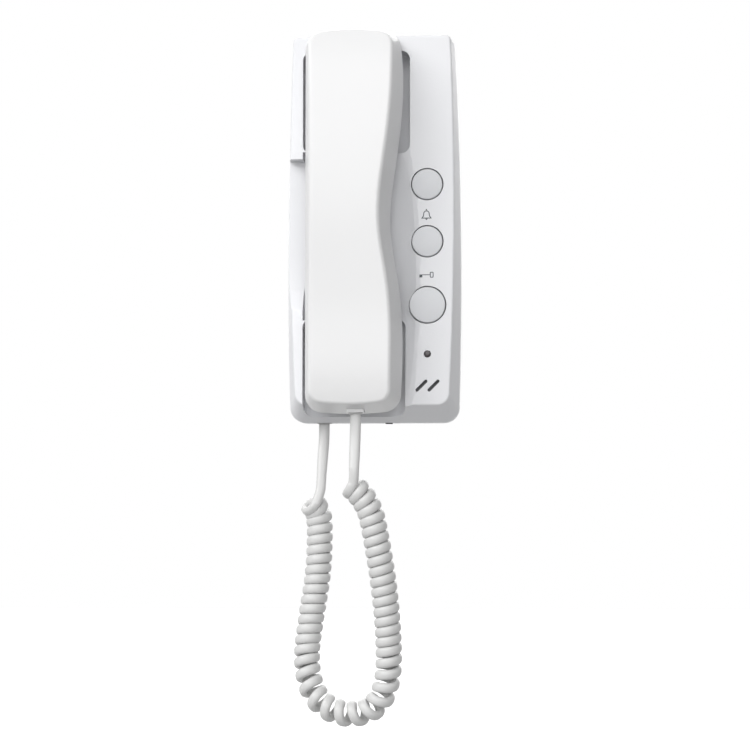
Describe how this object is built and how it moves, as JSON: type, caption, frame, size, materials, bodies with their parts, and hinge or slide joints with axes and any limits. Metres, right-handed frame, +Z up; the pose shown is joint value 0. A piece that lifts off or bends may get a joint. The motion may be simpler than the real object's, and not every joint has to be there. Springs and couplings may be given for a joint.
{
  "type": "audio intercom handset station",
  "caption": "Wall case with a handset in a recessed cradle, round push buttons beside it and a curly cord hanging below in a loop.",
  "frame": {"origin": "middle of the wall bracket's screw pattern, on the wall", "axes": "+Z up, +Y into the wall, X to the right as seen from the room"},
  "size_m": [0.099, 0.0621, 0.3927],
  "materials": {
    "case_white": "fine satin",
    "handset_white": "soft gloss",
    "button_white": "soft gloss",
    "cord_white": "satin",
    "steel": "zinc plated",
    "board_green": "solder mask",
    "dark_plastic": "plain",
    "grey_rubber": "matt",
    "terminal_green": "plain",
    "lamp_dark": "clear dark red",
    "plug_clear": "clear",
    "cast_weight": "rough"
  },
  "bodies": {
    "base": {"front_cover": "case_white", "rear_case": "case_white", "wall_bracket": "steel", "case_screws": "steel", "main_board": "board_green", "board_screws": "steel", "terminal_block": "terminal_green", "terminal_screws": "steel", "rubber_keypad": "grey_rubber", "indicator_lens": "lamp_dark", "indicator_led": "lamp_dark", "tone_speaker": "dark_plastic", "speaker_gasket": "grey_rubber", "volume_switch": "dark_plastic", "base_jack": "dark_plastic", "cord_plug_base": "plug_clear", "hook_lever_pin": "steel", "hook_spring": "steel", "hook_switch": "dark_plastic", "cord_base_lead": "cord_white", "cord_curls": "cord_white", "cord_handset_lead": "cord_white"},
    "handset": {"handset_outer_shell": "handset_white", "handset_inner_shell": "handset_white", "handset_screws": "steel", "handset_jack": "dark_plastic", "cord_plug_handset": "plug_clear", "receiver_capsule": "dark_plastic", "receiver_gasket": "grey_rubber", "microphone_capsule": "steel", "microphone_boot": "grey_rubber", "handset_weight": "cast_weight"},
    "hook": {"hook_lever": "case_white"},
    "upper_button": {"button_upper": "button_white"},
    "bell_button": {"button_bell": "button_white"},
    "door_button": {"button_door": "button_white"},
    "knob": {"volume_knob": "dark_plastic"}
  },
  "joints": [
    {"name": "handset_lift", "type": "slide", "parent": "base", "child": "handset", "axis": [0, -1, 0], "range_m": [0, 0.06]},
    {"name": "hook_swing", "type": "hinge", "parent": "base", "child": "hook", "pos_m": [-0.0093, -0.008, -0.056], "axis": [1, 0, 0], "range_deg": [-12, 0], "deforming": ["hook_spring"]},
    {"name": "upper_press", "type": "slide", "parent": "base", "child": "upper_button", "axis": [0, 1, 0], "range_m": [0, 0.0012], "stiffness_N_per_m": 500, "springref_m": -0.0005, "deforming": ["rubber_keypad"]},
    {"name": "bell_press", "type": "slide", "parent": "base", "child": "bell_button", "axis": [0, 1, 0], "range_m": [0, 0.0012], "stiffness_N_per_m": 500, "springref_m": -0.0005, "deforming": ["rubber_keypad"]},
    {"name": "door_press", "type": "slide", "parent": "base", "child": "door_button", "axis": [0, 1, 0], "range_m": [0, 0.0012], "stiffness_N_per_m": 500, "springref_m": -0.0005, "deforming": ["rubber_keypad"]},
    {"name": "volume_slide", "type": "slide", "parent": "base", "child": "knob", "axis": [1, 0, 0], "range_m": [-0.0045, 0.0045]}
  ],
  "couplings": [
    {"joint": "hook_swing", "follows": "handset_lift", "rad_per_m": -3.49}
  ]
}
